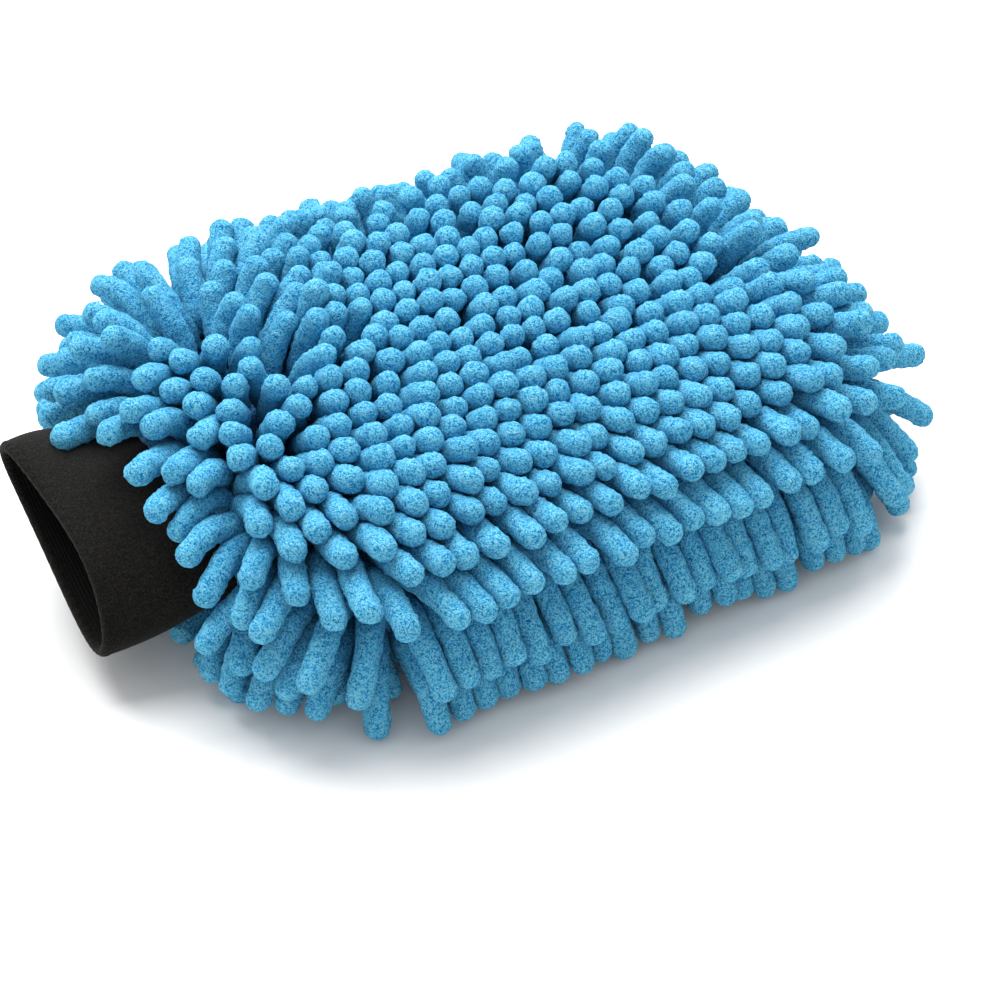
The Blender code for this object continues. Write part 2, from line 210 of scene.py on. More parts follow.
def combed(points, normals, kind):
    """The direction each noodle is combed in, before it settles.

    The lean is added to the fabric's unit normal, so 1 is a noodle at 45 degrees."""
    x, y = points[:, 0], points[:, 1]
    lean = np.zeros_like(points)
    near = smoothstep((-0.060 - y) / 0.018)[:, None]
    neck = smoothstep((-0.062 - x) / 0.028)[:, None]
    if kind == "back":
        # the far half stands towards the near side, and the near half lies down that way
        lying = smoothstep((-0.004 - y) / 0.030)[:, None]
        flow = np.concatenate([-0.20 + 0.38 * lying, -0.80 - 0.80 * lying], 1)
        # the finger end's noodles lean out over its seam
        end = smoothstep((x - 0.076) / 0.038)[:, None]
        flow = flow * (1 - end) + end * [1.1, -0.30]
        lean[:, :2] = flow
        # the neck's reach out over the cuff, and hang down beside it on the near side
        lean += neck * (1 - 0.62 * lying) * [-1.15, -0.25, 0.0]
        lean += neck * lying * [0.0, -0.30, -0.75]
        # the far shoulder's fan out, with a parting beside them
        shoulder = smoothstep((y - 0.026) / 0.024) * smoothstep((-0.050 - x) / 0.02)
        lean += shoulder[:, None] * [-0.5, 1.9, 0.0]
        parting = np.exp(-((x + 0.044) / 0.020) ** 2) * smoothstep((y - 0.002) / 0.022)
        lean += parting[:, None] * [1.15, 0.75, 0.0]
        # the outer rows cover the sewn edge on both sides
        outwards = smoothstep((y - 0.050) / 0.034)[:, None]
        lean += outwards * [0.05, 1.30, -0.10] + near * [0.1, -0.5, -0.7]
    elif kind == "palm":
        lean[:, 0], lean[:, 1] = 0.3, np.where(y > 0, 1.0, -1.0)
        lean *= 1.7
        lean += neck * [-2.0, 0.0, 0.0]
    elif kind == "neck":
        hanging = smoothstep((0.012 - y) / 0.030)[:, None]
        lean += (1 - hanging) * [-1.7, -0.10, -0.25] + hanging * [-0.75, -0.35, -1.1]
    else:
        lean[:, 2] = np.where(normals[:, 2] > 0, -0.42, -0.15)
        lean += near * [0.10, 0.0, -1.0]
        lean += neck * (1 - 0.6 * near) * [-1.1, 0.0, -0.15]
    lean += rng.normal(0, 0.20 if kind == "edge" else 0.12, lean.shape)
    return unit(normals + lean)


# ---- settling the pile ----
def keep_off_body(p):
    """Moves points, in place, out of the body, the cuff and the floor by a noodle's radius."""
    x, y, z = p[..., 0], p[..., 1], p[..., 2] - SEAM_Z
    wide = half_width(np.clip(x, START_X, END_X)) + RADIUS * 0.9
    high = HALF_HEIGHT + RADIUS * 0.9
    past = np.clip((x - (END_X - END_ROUND)) / (END_ROUND + RADIUS * 0.9), 0, None)
    level = (np.abs(y) / wide) ** POWER + (np.abs(z) / high) ** POWER + past ** POWER
    inside = (level < 1.0) & (x > START_X - 2 * MM)
    grow = np.where(inside, np.maximum(level, 0.05) ** (-1.0 / POWER), 1.0)
    end_base = END_X - END_ROUND
    p[..., 1] = y * grow
    p[..., 2] = SEAM_Z + z * grow
    p[..., 0] = np.where(inside & (x > end_base), end_base + (x - end_base) * grow, x)

    y, z = p[..., 1], p[..., 2] - SEAM_Z
    wide, high = 45.0 * MM + RADIUS, 16.5 * MM + RADIUS
    level = (y / wide) ** 2 + (z / high) ** 2
    inside = (level < 1.0) & (x <= START_X - 2 * MM) & (x > MOUTH_X)
    grow = np.where(inside, np.maximum(level, 0.05) ** -0.5, 1.0)
    p[..., 1] = y * grow
    p[..., 2] = np.maximum(SEAM_Z + z * grow, RADIUS)


def touching_pairs(p, noodle):
    """Indices of the chain points of different noodles that are close to each other."""
    flat = p.reshape(-1, 3)
    tree = kdtree.KDTree(len(flat))
    for i, q in enumerate(flat.tolist()):
        tree.insert(q, i)
    tree.balance()
    first, second = [], []
    for i, q in enumerate(flat.tolist()):
        for _, j, _ in tree.find_range(q, RADIUS * 2.5):
            if j > i and noodle[i] != noodle[j]:
                first.append(i)
                second.append(j)
    return np.array(first), np.array(second)


def settle(roots, combs, lengths, steps):
    """Quasi-static settling: each noodle is a chain that bends, rests on its neighbours, the
    fabric and the floor, and keeps its length."""
    count = len(roots)
    link = (lengths - RADIUS) / (NODES - 1)
    along = np.arange(NODES)[None, :, None]
    p = roots[:, None, :] + combs[:, None, :] * link[:, None, None] * along
    rest = p.copy()
    noodle = np.repeat(np.arange(count), NODES)
    contact = 2 * RADIUS * 0.95
    for step in range(steps):
        if step % 8 == 0:
            first, second = touching_pairs(p, noodle)
        p[:, 2:, 2] -= 0.10 * MM
        p[:, 1:] += (rest[:, 1:] - p[:, 1:]) * 0.012
        heading = unit(p[:, 1:-1] - p[:, :-2])
        p[:, 2:] += (p[:, 1:-1] + heading * link[:, None, None] - p[:, 2:]) * 0.30
        p[:, 1] += (roots + combs * link[:, None] - p[:, 1]) * 0.35
        flat = p.reshape(-1, 3)
        for _ in range(2):
            gap = flat[first] - flat[second]
            reach = np.linalg.norm(gap, axis=1)
            push = np.clip(contact - reach, 0, None) / np.maximum(reach, 1e-6) * 0.30
            move = gap * push[:, None]
            shift = np.zeros_like(flat)
            for axis in range(3):
                shift[:, axis] = (np.bincount(first, move[:, axis], len(flat))
                                  - np.bincount(second, move[:, axis], len(flat)))
            size = np.linalg.norm(shift, axis=1, keepdims=True)
            flat += shift * np.minimum(1.0, 0.8 * MM / np.maximum(size, 1e-9))
        p = flat.reshape(count, NODES, 3)
        p[:, 0] = roots
        outer = p[:, 1:].copy()
        keep_off_body(outer)
        p[:, 1:] = outer
        for k in range(1, NODES):
            p[:, k] = p[:, k - 1] + unit(p[:, k] - p[:, k - 1]) * link[:, None]
    return p


# ---- skinning the noodles ----
def smooth_path(p, s):
    """Catmull-Rom points of each chain at the share s of its length (0 to 1)."""
    padded = np.concatenate([2 * p[:, :1] - p[:, 1:2], p, 2 * p[:, -1:] - p[:, -2:-1]], 1)
    at = np.clip(s * (NODES - 1), 0, NODES - 1 - 1e-9)
    i = at.astype(int)
    t = (at - i)[None, :, None]
    a, b, c, d = (padded[:, i + k] for k in range(4))
    return 0.5 * (2 * b + (c - a) * t + (2 * a - 5 * b + 4 * c - d) * t ** 2
                  + (3 * b - a - 3 * c + d) * t ** 3)


def skin(chains, lengths):
    """Vertices (noodle, ring, around, xyz), and each vertex's place in the straight noodle."""
    count = len(chains)
    tip = RADIUS * 1.05
    body_rings = ALONG - TIP_RINGS
    share = np.concatenate([np.linspace(0, 1, body_rings), np.ones(TIP_RINGS)])
    rounded = np.sin(np.linspace(0.16, 1, TIP_RINGS) * math.pi / 2)
    beyond = np.concatenate([np.zeros(body_rings), rounded])
    centre = smooth_path(chains, share)
    last_way = unit(chains[:, -1] - chains[:, -2])
    centre = centre + last_way[:, None, :] * (beyond * tip)[None, :, None]

    tangent = unit(np.gradient(centre, axis=1))
    tangent[:, body_rings:] = last_way[:, None, :]
    side = np.zeros_like(centre)
    seed_axis = np.tile([0.31, 0.22, 0.93], (count, 1))
    side[:, 0] = unit(np.cross(tangent[:, 0], seed_axis))
    for k in range(1, ALONG):
        s = side[:, k - 1]
        side[:, k] = unit(s - tangent[:, k] * np.sum(s * tangent[:, k], -1, keepdims=True))
    other = np.cross(tangent, side)

    run = share[None, :] * (lengths[:, None] - RADIUS) + beyond[None, :] * tip
    profile = 0.70 + 0.30 * smoothstep(run / (7 * MM)) - 0.08 * smoothstep(share)
    profile = profile * np.sqrt(1 - np.clip(beyond, 0, 1)[None, :] ** 2.4 * 0.9985)
    angle = np.arange(AROUND) / AROUND * 2 * math.pi

    lumps = np.zeros((count, ALONG, AROUND))
    for size, waves, rate in ((0.045, 3, 260), (0.034, 4, 700), (0.026, 6, 1500)):
        for _ in range(3):
            turn = rng.integers(-waves, waves + 1, count)[:, None, None]
            grow = rng.uniform(0.5, 1.0, count)[:, None, None] * rate
            phase = rng.uniform(0, 2 * math.pi, count)[:, None, None]
            lumps += size / 1.7 * np.cos(turn * angle + grow * run[:, :, None] + phase)
    lumps += rng.normal(0, 0.040, lumps.shape)
    thick = rng.normal(1.0, 0.03, count)[:, None, None]
    radius = RADIUS * thick * profile[:, :, None] * (1 + lumps)

    c, s = np.cos(angle)[None, None, :, None], np.sin(angle)[None, None, :, None]
    ring = side[:, :, None, :] * c + other[:, :, None, :] * s
    verts = centre[:, :, None, :] + ring * radius[..., None]

    straight = np.stack(np.broadcast_arrays(
        RADIUS * np.cos(angle)[None, None, :] * profile[:, :, None],
        RADIUS * np.sin(angle)[None, None, :] * profile[:, :, None],
        run[:, :, None]), -1)
    return verts, straight, run / lengths[:, None]


def noodle_faces():
    faces = []
    for i in range(ALONG - 1):
        for j in range(AROUND):
            n = (j + 1) % AROUND
            faces.append((i * AROUND + j, i * AROUND + n, (i + 1) * AROUND + n,
                          (i + 1) * AROUND + j))
    return np.array(faces)


NOODLE_FACES = noodle_faces()


def new_mesh(name, verts, loops, starts, totals, material):
    """A smooth mesh object from flat arrays of its corners and faces."""
    mesh = bpy.data.meshes.new(name)
    mesh.vertices.add(len(verts))
    mesh.vertices.foreach_set("co", np.asarray(verts, np.float32).ravel())
    mesh.loops.add(len(loops))
    mesh.loops.foreach_set("vertex_index", np.asarray(loops, np.int32))
    mesh.polygons.add(len(starts))
    mesh.polygons.foreach_set("loop_start", np.asarray(starts, np.int32))
    mesh.polygons.foreach_set("loop_total", np.asarray(totals, np.int32))
    mesh.update(calc_edges=True)
    mesh.validate()
    mesh.shade_smooth()
    mesh.materials.append(material)
    item = bpy.data.objects.new(name, mesh)
    bpy.context.collection.objects.link(item)
    return item


def quad_object(name, verts, quads, material):
    quads = np.asarray(quads)
    starts = np.arange(len(quads)) * 4
    return new_mesh(name, verts, quads.ravel(), starts, np.full(len(quads), 4), material)


def noodle_object(name, verts, straight, share, seeds, material):
    """One piece of many closed noodles, with the attributes that its fibres, its painted root shade
    and its tone follow.
    """
    count = len(verts)
    size = ALONG * AROUND
    base = np.arange(count)[:, None, None] * size
    quads = (NOODLE_FACES[None] + base).reshape(-1, 4)
    root_cap = base[:, :, 0] + np.arange(AROUND)[::-1][None, :]
    tip_cap = base[:, :, 0] + size - AROUND + np.arange(AROUND)[None, :]
    caps = np.concatenate([root_cap, tip_cap])
    loops = np.concatenate([quads.ravel(), caps.ravel()])
    totals = np.concatenate([np.full(len(quads), 4), np.full(len(caps), AROUND)])
    starts = np.concatenate([[0], np.cumsum(totals)[:-1]])
    item = new_mesh(name, verts.reshape(-1, 3), loops, starts, totals, material)
    place = straight + (seeds[:, None, None, None] * np.array([0.31, 0.47, 0.73]))
    fibre = item.data.attributes.new("fibre", "FLOAT_VECTOR", "POINT")
    fibre.data.foreach_set("vector", place.astype(np.float32).ravel())
    # the first channel, each vertex's share of its noodle's length, sets the painted shade at the
    # roots; the second is a random tone for each noodle
    root_shade_and_tone = np.zeros((count, ALONG, AROUND, 3), np.float32)
    root_shade_and_tone[..., 0] = share[:, :, None]
    root_shade_and_tone[..., 1] = ((seeds * 7.31) % 1.0)[:, None, None]
    shade = item.data.attributes.new("root_shade_and_tone", "FLOAT_VECTOR", "POINT")
    shade.data.foreach_set("vector", root_shade_and_tone.ravel())
    return item


def make_pile(material):
    """All the noodles: rooted, combed, settled together, and skinned node by node."""
    groups = [(points, normals, "back" if side > 0 else "palm", node)
              for points, normals, side, node in row_roots()]
    groups += [(points, normals, "edge", node) for points, normals, side, node in edge_roots()]
    groups.append((*neck_roots(), "neck", "noodles_over_cuff"))
    roots = np.concatenate([g[0] for g in groups])
    combs, lengths, owner = [], [], []
    for points, normals, kind, node in groups:
        combs.append(combed(points, normals, kind))
        lying = 1 - np.clip(np.sum(combs[-1] * normals, axis=1), 0, 1)
        back = STANDING_LENGTH + (LYING_LENGTH - STANDING_LENGTH) * smoothstep(lying / 0.35)
        base = {"back": back, "edge": EDGE_LENGTH, "palm": PALM_LENGTH, "neck": NECK_LENGTH}[kind]
        lengths.append(base * rng.uniform(0.94, 1.05, len(points)))
        owner += [node] * len(points)
    combs, lengths, owner = np.concatenate(combs), np.concatenate(lengths), np.array(owner)
    seeds = rng.uniform(1.0, 9.0, len(roots))
    chains = settle(roots, combs, lengths, SETTLE_STEPS)
    verts, straight, share = skin(chains, lengths)

    crosses = chains[:, :, 0].min(axis=1) < BEND_START[0] - 2 * MM
    all_cross = []
    for node in sorted(set(owner) - {"noodles_over_cuff"}):
        mine = (owner == node) & ~crosses
        if not mine.any():
            all_cross.append(node)
            continue
        label = node.replace("_row_", "_").replace("_pile_", "_noodles_")
        item = noodle_object(label, verts[mine], straight[mine], share[mine], seeds[mine], material)
        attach(item, "mitt")
        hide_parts(node)
    crosses |= owner == "noodles_over_cuff"
    item = noodle_object("noodles_over_cuff", verts[crosses], straight[crosses], share[crosses],
                         seeds[crosses], material)
    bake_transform(item)
    if all_cross:
        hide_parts(*all_cross)


# ---- materials ----
class Nodes:
    """A short way to write a material's node tree."""

    def __init__(self, name):
        self.material = bpy.data.materials.new(name)
        self.material.use_nodes = True
        self.tree = self.material.node_tree
        self.shader = self.tree.nodes["Principled BSDF"]

    def add(self, kind, inputs=None, **settings):
        node = self.tree.nodes.new(kind)
        for key, value in settings.items():
            setattr(node, key, value)
        for key, value in (inputs or {}).items():
            self.put(node.inputs[key], value)
        return node

    def put(self, socket, value):
        if isinstance(value, bpy.types.NodeSocket):
            self.tree.links.new(value, socket)
        else:
            socket.default_value = value

    def noise(self, vector, scale, detail=3.0, roughness=0.6):
        node = self.add("ShaderNodeTexNoise", {"Vector": vector, "Scale": scale,
                                               "Detail": detail, "Roughness": roughness})
        return node.outputs["Fac"]

    def ramp(self, value, stops):
        node = self.add("ShaderNodeValToRGB", {"Fac": value})
        while len(node.color_ramp.elements) < len(stops):
            node.color_ramp.elements.new(0.5)
        for element, (at, colour) in zip(node.color_ramp.elements, stops):
            element.position = at
            element.color = (*colour, 1.0)
        return node.outputs["Color"]

    def math(self, operation, *values):
        node = self.add("ShaderNodeMath", operation=operation)
        for i, value in enumerate(values):
            self.put(node.inputs[i], value)
        return node.outputs["Value"]

    def mix(self, factor, a, b, blend_type="MIX"):
        node = self.add("ShaderNodeMix", data_type="RGBA", blend_type=blend_type)
        self.put(node.inputs["Factor"], factor)
        self.put(node.inputs["A"], a)
        self.put(node.inputs["B"], b)
        return node.outputs["Result"]

    def bump(self, height, distance, strength=1.0, normal=None):
        node = self.add("ShaderNodeBump", {"Height": height, "Distance": distance,
                                           "Strength": strength})
        if normal is not None:
            self.put(node.inputs["Normal"], normal)
        return node.outputs["Normal"]

    def set(self, **values):
        for key, value in values.items():
            self.put(self.shader.inputs[key.replace("_", " ")], value)


def chenille_material():
    """Short velvety fibres in tufts half a millimetre across; painted shade darkens each noodle
    towards its root, so it is lighter at its tip.
    """
    m = Nodes("chenille")
    fibre = m.add("ShaderNodeAttribute", attribute_name="fibre").outputs["Vector"]
    root_shade_and_tone = m.add("ShaderNodeSeparateXYZ", {"Vector": m.add(
        "ShaderNodeAttribute", attribute_name="root_shade_and_tone").outputs["Vector"]})
    tufts = m.add("ShaderNodeTexVoronoi", {"Vector": fibre, "Scale": 2300.0, "Randomness": 1.0})
    random = m.add("ShaderNodeSeparateColor", {"Color": tufts.outputs["Color"]}).outputs["Red"]
    peaks = m.math("SUBTRACT", 0.85, tufts.outputs["Distance"])
    squeezed = m.add("ShaderNodeVectorMath", {0: fibre, 1: (0.40, 0.40, 1.30)},
                     operation="MULTIPLY").outputs["Vector"]
    rings = m.noise(squeezed, 900.0, 2.0, 0.5)
    clumps = m.noise(fibre, 1000.0, 3.0, 0.65)
    broad = m.noise(fibre, 160.0, 2.0, 0.5)
    fleck = m.math("ADD", m.math("MULTIPLY", random, 0.42), m.math("MULTIPLY", peaks, 0.38))
    fleck = m.math("ADD", fleck, m.math("MULTIPLY", m.math("ADD", rings, clumps), 0.28))
    colour = m.ramp(fleck, [(0.34, (0.004, 0.120, 0.320)), (0.50, (0.036, 0.310, 0.580)),
                            (0.66, (0.150, 0.560, 0.790)), (0.86, (0.275, 0.680, 0.800))])
    varied = m.mix(m.math("MULTIPLY", broad, 0.30), colour, (0.035, 0.300, 0.560, 1.0))
    # painted shade: the colour is darkened from each noodle's tip down to its root, where the pile
    # shades it
    depth = m.ramp(root_shade_and_tone.outputs["X"], [(0.05, (0.22, 0.36, 0.46)), (0.55, (0.80, 0.88, 0.93)),
                                       (0.95, (1.0, 1.0, 1.0))])
    shaded = m.mix(1.0, varied, depth, "MULTIPLY")
    each = m.ramp(root_shade_and_tone.outputs["Y"], [(0.0, (0.86, 0.90, 0.93)), (1.0, (1.0, 1.0, 1.0))])
    relief = m.math("ADD", m.math("MULTIPLY", peaks, 0.55), m.math("MULTIPLY", random, 0.35))
    relief = m.math("ADD", relief, m.math("MULTIPLY", m.math("ADD", rings, clumps), 0.75))
    m.set(Base_Color=m.mix(1.0, shaded, each, "MULTIPLY"), Roughness=1.0,
          Sheen_Weight=0.30, Sheen_Roughness=0.40, Sheen_Tint=(0.20, 0.70, 1.0, 1.0),
          Specular_IOR_Level=0.04, Normal=m.bump(relief, 0.60 * MM, 1.0))
    return m.material


def knit_material(name, dark, light, scale, sheen=0.2, bump=0.18 * MM):
    """A fine knit: rows of small stitches with a little fluff on them."""
    m = Nodes(name)
    place = m.add("ShaderNodeTexCoord").outputs["Object"]
    stitches = m.add("ShaderNodeTexVoronoi", {"Vector": place, "Scale": scale,
                                              "Randomness": 0.55}).outputs["Distance"]
    fluff = m.noise(place, scale * 1.6, 3.0, 0.7)
    broad = m.noise(place, 45.0, 3.0, 0.5)
    height = m.math("ADD", m.math("MULTIPLY", stitches, -0.8), m.math("MULTIPLY", fluff, 0.5))
    colour = m.ramp(fluff, [(0.46, dark), (0.60, light)])
    worn = m.mix(m.math("MULTIPLY", broad, 0.30), colour, (*[c * 0.6 for c in dark], 1.0))
    m.set(Base_Color=worn, Roughness=0.95, Sheen_Weight=sheen, Sheen_Roughness=0.5,
          Specular_IOR_Level=0.2, Normal=m.bump(height, bump, 0.8))
    return m.material


# ---- fabric panels ----
def grid_quads(rows, columns, closed=False):
    """Quads of a grid of points, rows by columns; closed joins the last column to the first."""
    quads = []
    for i in range(rows - 1):
        for j in range(columns if closed else columns - 1):
            n = (j + 1) % columns
            quads.append((i * columns + j, i * columns + n, (i + 1) * columns + n,
                          (i + 1) * columns + j))
    return np.array(quads)


def ring_quads(rows, around):
    """Quads of a closed ring of closed rows, with the last row joined to the first."""
    quads = grid_quads(rows, around, closed=True)
    j = np.arange(around)
    n = (j + 1) % around
    join = np.stack([(rows - 1) * around + j, (rows - 1) * around + n, n, j], -1)
    return np.concatenate([quads, join])


def close_ends(item, around, stations):
    """Closes the two open ends of a swept tube, and turns its faces outwards."""
    shape = bmesh.new()
    shape.from_mesh(item.data)
    shape.verts.ensure_lookup_table()
    for first in (0, (stations - 1) * around):
        shape.faces.new([shape.verts[first + i] for i in range(around)])
    bmesh.ops.recalc_face_normals(shape, faces=shape.faces)
    shape.to_mesh(item.data)
    shape.free()


def make_panel(name, node, side, inset, thickness, material, relief):
    """A fabric panel of the bag: a domed sheet, relief(x, y) proud of its smooth shape."""
    stations, across = 150, 130
    lead = 1.5 * MM
    low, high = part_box(node)
    body = np.linspace(low.x, END_X - END_ROUND, stations - 20)
    tail = END_X - END_ROUND + END_ROUND * np.sin(np.linspace(0, math.pi / 2, 21)[1:])
    xs = np.concatenate([body, tail])
    angle = np.linspace(0, math.pi, across)
    c, s = np.cos(angle), np.maximum(np.sin(angle), 0)
    wide = (half_width(xs) - inset)[:, None]
    rise = np.maximum(half_height(xs) - inset - lead, 0)[:, None]
    y = wide * np.sign(c) * np.abs(c) ** (2 / POWER)
    z = lead + rise * s ** (2 / POWER)
    x = (xs - inset * np.clip((xs - END_X + END_ROUND) / END_ROUND, 0, 1))[:, None] + 0 * y
    raised = relief(x, y) * (s[None, :] ** 0.5)
    verts = np.stack([x, y, SEAM_Z + side * (z + raised)], -1).reshape(-1, 3)
    quads = grid_quads(stations, across)
    if side < 0:
        quads = quads[:, ::-1]
    item = quad_object(name, verts, quads, material)
    wall = item.modifiers.new("cloth", "SOLIDIFY")
    wall.thickness = thickness
    wall.offset = -1.0
    arc = np.linalg.norm(np.diff(verts.reshape(stations, across, 3), axis=1), axis=-1).sum(1)
    length = np.linalg.norm(np.diff(verts.reshape(stations, across, 3)[:, across // 2], axis=0),
                            axis=-1).sum()
    corners = verts[quads]
    one = np.cross(corners[:, 1] - corners[:, 0], corners[:, 2] - corners[:, 0])
    two = np.cross(corners[:, 2] - corners[:, 0], corners[:, 3] - corners[:, 0])
    area = (np.linalg.norm(one, axis=1).sum() + np.linalg.norm(two, axis=1).sum()) / 2
    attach(item, "mitt")
    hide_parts(node)
    return item, (float(arc.max()), float(length)), float(area)


def backing_relief(x, y):
    """The rows of yarn pull the fabric into shallow channels, with a dimple at each noodle."""
    across = np.cos(2 * math.pi * y / BACK_GRID[1])
    along = np.cos(2 * math.pi * x / BACK_GRID[0] + 1.7 * np.sin(y / (13 * MM)))
    return -0.35 * MM * (0.6 * (1 + across) / 2 + 0.4 * (1 + across) / 2 * (1 + along) / 2)


def lining_relief(x, y):
    """Loose folds of the lining."""
    return 0.5 * MM * (np.sin(x / (9 * MM) + 2.0 * np.sin(y / (17 * MM)))
                       * np.cos(y / (11 * MM)) - 1.0)


def make_edge_seam(thread):
    """The overlocked seam allowance between the panels' edges, with its thread's stitches."""
    stations, around = 900, 14
    allowance, stitch_pitch = 6 * MM, 2.4 * MM
    points, normals = outline(stations)
    run = np.arange(stations) * np.linalg.norm(points[1] - points[0])
    stitch = 0.18 * MM * np.cos(2 * math.pi * run / stitch_pitch)[:, None]
    turn = np.arange(around) / around * 2 * math.pi
    out = -allowance / 2 + (allowance / 2 + stitch) * np.cos(turn)
    z = SEAM_Z + (1.0 * MM + stitch) * np.sin(turn)
    flat = points[:, None, :] + normals[:, None, :] * out[..., None]
    verts = np.concatenate([flat, z[..., None]], -1).reshape(-1, 3)
    quads = grid_quads(stations, around, closed=True)
    item = quad_object("edge_seam_overlock", verts, quads, thread)
    close_ends(item, around, stations)
    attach(item, "mitt")
    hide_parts("edge_seam_allowance")
    return item


def make_panels(backing, lining, seam):
    """The bag's two halves and their linings; the sewn edge passed in is not used."""
    for side, label in ((1.0, "back"), (-1.0, "palm")):
        item, flat, area = make_panel(f"{label}_backing_fabric", f"{label}_panel_backing", side,
                                      0.0, 0.8 * MM, backing, backing_relief)
        item, flat, area = make_panel(f"{label}_lining_fabric", f"{label}_pocket_lining", side,
                                      2.3 * MM, 0.5 * MM, lining, lining_relief)


# ---- cuff ----
CUFF_WALL = 1.0 * MM
CUFF_SPACE = 1.2 * MM
ROOT_X = PIVOT_X + 4.5 * MM     # where the knit goes into the gathered seam
TWIST = math.radians(25.5)
ROOT_HALF = (44.0 * MM, 15.0 * MM)
MOUTH_HALF = (37.8 * MM, 16.8 * MM)


def cuff_surface(x, angle, inset):
    """Points of the cuff's wall: gathered at its seam, waved at its mouth."""
    t = np.clip((x - ROOT_X) / (MOUTH_X - ROOT_X), 0, 1)
    turn = TWIST * smoothstep(t)
    wide = ROOT_HALF[0] + (MOUTH_HALF[0] - ROOT_HALF[0]) * t - inset
    high = ROOT_HALF[1] + (MOUTH_HALF[1] - ROOT_HALF[1]) * t - inset
    gathers = np.exp(-(x - ROOT_X) ** 2 / (9 * MM) ** 2)
    pleats = 0.55 * MM * gathers * np.cos(31 * angle + 2 * np.sin(3 * angle))
    soft = 0.45 * MM * np.sin(5 * angle + 40 * x) * np.sin(math.pi * t)
    # the upper lip sags towards the lower one on the left, and lifts on the right
    upper = np.clip(np.sin(angle), 0, 1)
    sag = -3.0 * MM * t ** 2 * upper ** 2 * np.exp(-((angle - 1.0) / 0.62) ** 2)
    lift = 1.6 * MM * t ** 2 * upper * np.exp(-((angle - 2.2) / 0.5) ** 2)
    reach = 1 + (pleats + soft) / (0.5 * (wide + high))
    y = wide * np.cos(angle) * reach
    z = high * np.sin(angle) * reach + sag + lift
    out_x = x - 1.4 * MM * t ** 4 * np.cos(2 * angle - 0.6)
    return np.stack([out_x + 0 * y, y * np.cos(turn) - z * np.sin(turn),
                     SEAM_Z + y * np.sin(turn) + z * np.cos(turn)], -1)


def make_wall(name, xs, outer, inner, material, around=280, ridge=0.0, ridge_pitch=1.2 * MM):
    """A closed tube wall; ridge raises fine courses that run round its inner face."""
    angle = np.arange(around) / around * 2 * math.pi
    out = cuff_surface(xs[:, None], angle[None, :], outer)
    courses = ridge * np.cos(2 * math.pi * xs / ridge_pitch)[:, None]
    inside = cuff_surface(xs[::-1, None], angle[None, :], inner + courses[::-1])
    verts = np.concatenate([out, inside])
    quads = ring_quads(len(verts), around)[:, ::-1]
    item = quad_object(name, verts.reshape(-1, 3), quads, material)
    girth = np.linalg.norm(np.diff(out, axis=1), axis=-1).sum(1).mean()
    return item, (float(girth), float(abs(xs[-1] - xs[0])))


def make_seam_tape(name, first, last, inset, material):
    """The overlocked side seam inside the cuff: a rounded ridge with its thread's stitches."""
    stations, across = 120, 13
    xs = np.linspace(first, last, stations)
    spread = np.linspace(-1, 1, across)
    angle = math.radians(7.0) * spread
    stitch = 0.10 * MM * np.cos(2 * math.pi * xs / (1.3 * MM))[:, None]
    ridge = (0.9 * MM + stitch) * np.sqrt(1 - spread ** 2)[None, :]
    top = cuff_surface(xs[:, None], angle[None, :], inset + ridge)
    base = cuff_surface(xs[:, None], angle[None, ::-1], inset + 0 * ridge)[:, 1:-1]
    verts = np.concatenate([top, base], axis=1)
    columns = verts.shape[1]
    quads = grid_quads(stations, columns, closed=True)
    item = quad_object(name, verts.reshape(-1, 3), quads, material)
    close_ends(item, columns, stations)
    return item


def make_cuff(knit, inner_knit):
    """The doubled cuff: two layers, the rolled fold, the elastic web and the side seam."""
    fold_length = 2.0 * MM
    end = MOUTH_X + fold_length
    face = CUFF_WALL + CUFF_SPACE
    xs = np.linspace(ROOT_X, end, 90)
    outer, flat = make_wall("cuff_outer_knit", xs, 0.0, CUFF_WALL, knit)
    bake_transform(outer)
    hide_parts("cuff_outer_layer")
    fold = make_fold(knit, face)

    xs = np.linspace(ROOT_X, end, 216)
    inner, flat = make_wall("cuff_inner_knit", xs, face, face + 0.8 * MM, inner_knit, around=200,
                            ridge=0.16 * MM)
    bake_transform(inner)
    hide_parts("cuff_inner_layer")

    low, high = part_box("cuff_elastic_band")
    xs = np.linspace(high.x, low.x, 24)
    band, flat = make_wall("cuff_elastic_web", xs, CUFF_WALL + 0.2 * MM, face - 0.2 * MM, knit)
    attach(band, "cuff")
    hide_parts("cuff_elastic_band")

    low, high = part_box("cuff_side_seam")
    seam = make_seam_tape("cuff_overlocked_seam", high.x, low.x, face + 1.0 * MM, knit)
    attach(seam, "cuff")
    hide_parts("cuff_side_seam")


def make_fold(knit, face):
    """The rolled fold round the mouth, where the doubled knit turns in."""
    around, turns = 280, 14
    angle = np.arange(around) / around * 2 * math.pi
    depth = (face + CUFF_WALL) / 2 + 0.15 * MM
    rings = []
    for k in range(turns):
        roll = 2 * math.pi * k / turns
        x = MOUTH_X + 1.5 * MM + 1.75 * MM * math.cos(roll)
        inset = depth - 0.15 * MM + depth * math.sin(roll)
        wave = 0.12 * MM * np.sin(53 * angle)
        rings.append(cuff_surface(np.full(around, x), angle, inset + wave))
    verts = np.array(rings).reshape(-1, 3)
    item = quad_object("cuff_rolled_fold", verts, ring_quads(turns, around), knit)
    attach(item, "cuff")
    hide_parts("cuff_mouth_fold")
    return item


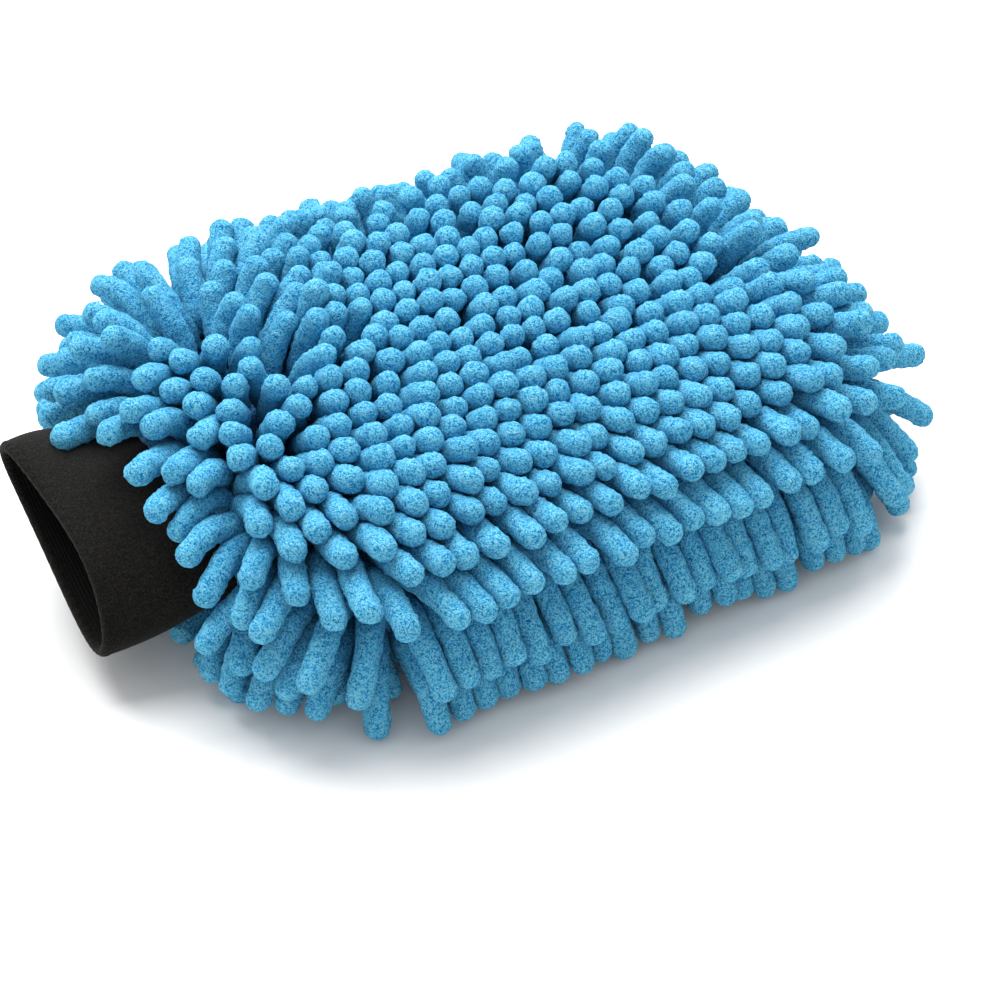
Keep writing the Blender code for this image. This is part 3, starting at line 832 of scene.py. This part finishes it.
def make_neck(backing):
    """The gathered end of the body, drawn in over the cuff's seam."""
    around = 240
    angle = np.arange(around) / around * 2 * math.pi
    rings = []
    for x, grow, pleat in ((8, 0.0, 0.3), (6, 0.2, 0.6), (4, 0.0, 0.9), (2, -0.7, 0.9),
                           (0.5, -1.5, 0.6), (0.5, -2.4, 0.4), (4, -2.0, 0.4), (8, -1.6, 0.2)):
        wave = pleat * np.cos(43 * angle + 1.5 * np.sin(2 * angle))
        wide = (48.6 + grow + wave) * MM
        high = (18.3 + grow + wave) * MM
        rings.append(np.stack([np.full(around, PIVOT_X + x * MM), wide * np.cos(angle),
                               SEAM_Z + high * np.sin(angle)], -1))
    verts = np.array(rings).reshape(-1, 3)
    quads = ring_quads(len(rings), around)[:, ::-1]
    item = quad_object("neck_gathers", verts, quads, backing)
    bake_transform(item)
    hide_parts("gathered_neck_seam")


# ---- stage, light and camera ----
def make_stage():
    m = Nodes("pale_floor")
    place = m.add("ShaderNodeTexCoord").outputs["Object"]
    grain = m.noise(place, 3.0, 3.0, 0.5)
    m.set(Base_Color=m.ramp(grain, [(0.3, (0.90, 0.90, 0.895)), (0.7, (0.93, 0.93, 0.925))]),
          Roughness=0.9, Specular_IOR_Level=0.2)
    size = 4.0
    corners = [(-size, -size, 0), (size, -size, 0), (size, size, 0), (-size, size, 0)]
    floor = quad_object("studio_floor", corners, [(0, 1, 2, 3)], m.material)


def aim(item, target):
    item.rotation_euler = (Vector(target) - item.location).to_track_quat("-Z", "Y").to_euler()


def make_light(name, place, size, power):
    light = bpy.data.lights.new(name, "AREA")
    light.shape = "DISK"
    light.size = size
    light.energy = power
    item = bpy.data.objects.new(name, light)
    item.location = place
    aim(item, (0.0, 0.0, 0.03))
    bpy.context.collection.objects.link(item)


def make_lights():
    world = bpy.data.worlds.new("studio")
    world.use_nodes = True
    sky = world.node_tree.nodes["Background"].inputs
    sky["Color"].default_value = (1.0, 1.0, 1.0, 1.0)
    sky["Strength"].default_value = 0.72
    bpy.context.scene.world = world
    make_light("key_light", (0.12, 0.60, 1.15), 1.5, 37.0)
    make_light("fill_light", (-0.9, -1.0, 0.8), 1.0, 1.0)


def make_camera():
    azimuth, elevation, distance = math.radians(-30.3), math.radians(36.0), 0.913
    middle = Vector((0.0, 0.0, 0.035))
    data = bpy.data.cameras.new("camera")
    data.lens = 103.0
    data.clip_start = 0.01
    camera = bpy.data.objects.new("camera", data)
    flat = math.cos(elevation)
    camera.location = middle + distance * Vector((math.sin(azimuth) * flat,
                                                  -math.cos(azimuth) * flat,
                                                  math.sin(elevation)))
    aim(camera, (0.0045, -0.0236, 0.0110))
    bpy.context.collection.objects.link(camera)
    bpy.context.scene.camera = camera


def main():
    pile = chenille_material()
    backing = knit_material("blue_backing_knit", (0.010, 0.095, 0.260), (0.060, 0.280, 0.560),
                            900.0)
    lining = knit_material("grey_lining_knit", (0.200, 0.206, 0.212), (0.330, 0.340, 0.350),
                           1000.0)
    knit = knit_material("black_cuff_knit", (0.0003, 0.0003, 0.0002), (0.0135, 0.0120, 0.0095),
                         1150.0, sheen=0.02, bump=0.30 * MM)
    inner_knit = knit_material("black_inner_knit", (0.0010, 0.0009, 0.0008),
                               (0.0080, 0.0072, 0.0066), 1700.0, sheen=0.02)
    thread = knit_material("blue_overlock_thread", (0.010, 0.070, 0.200), (0.040, 0.190, 0.420),
                           1400.0)
    make_pile(pile)
    make_panels(backing, lining, make_edge_seam(thread))
    make_neck(backing)
    make_cuff(knit, inner_knit)
    make_stage()
    make_lights()
    make_camera()
    bpy.context.scene.view_settings.view_transform = "Standard"


main()
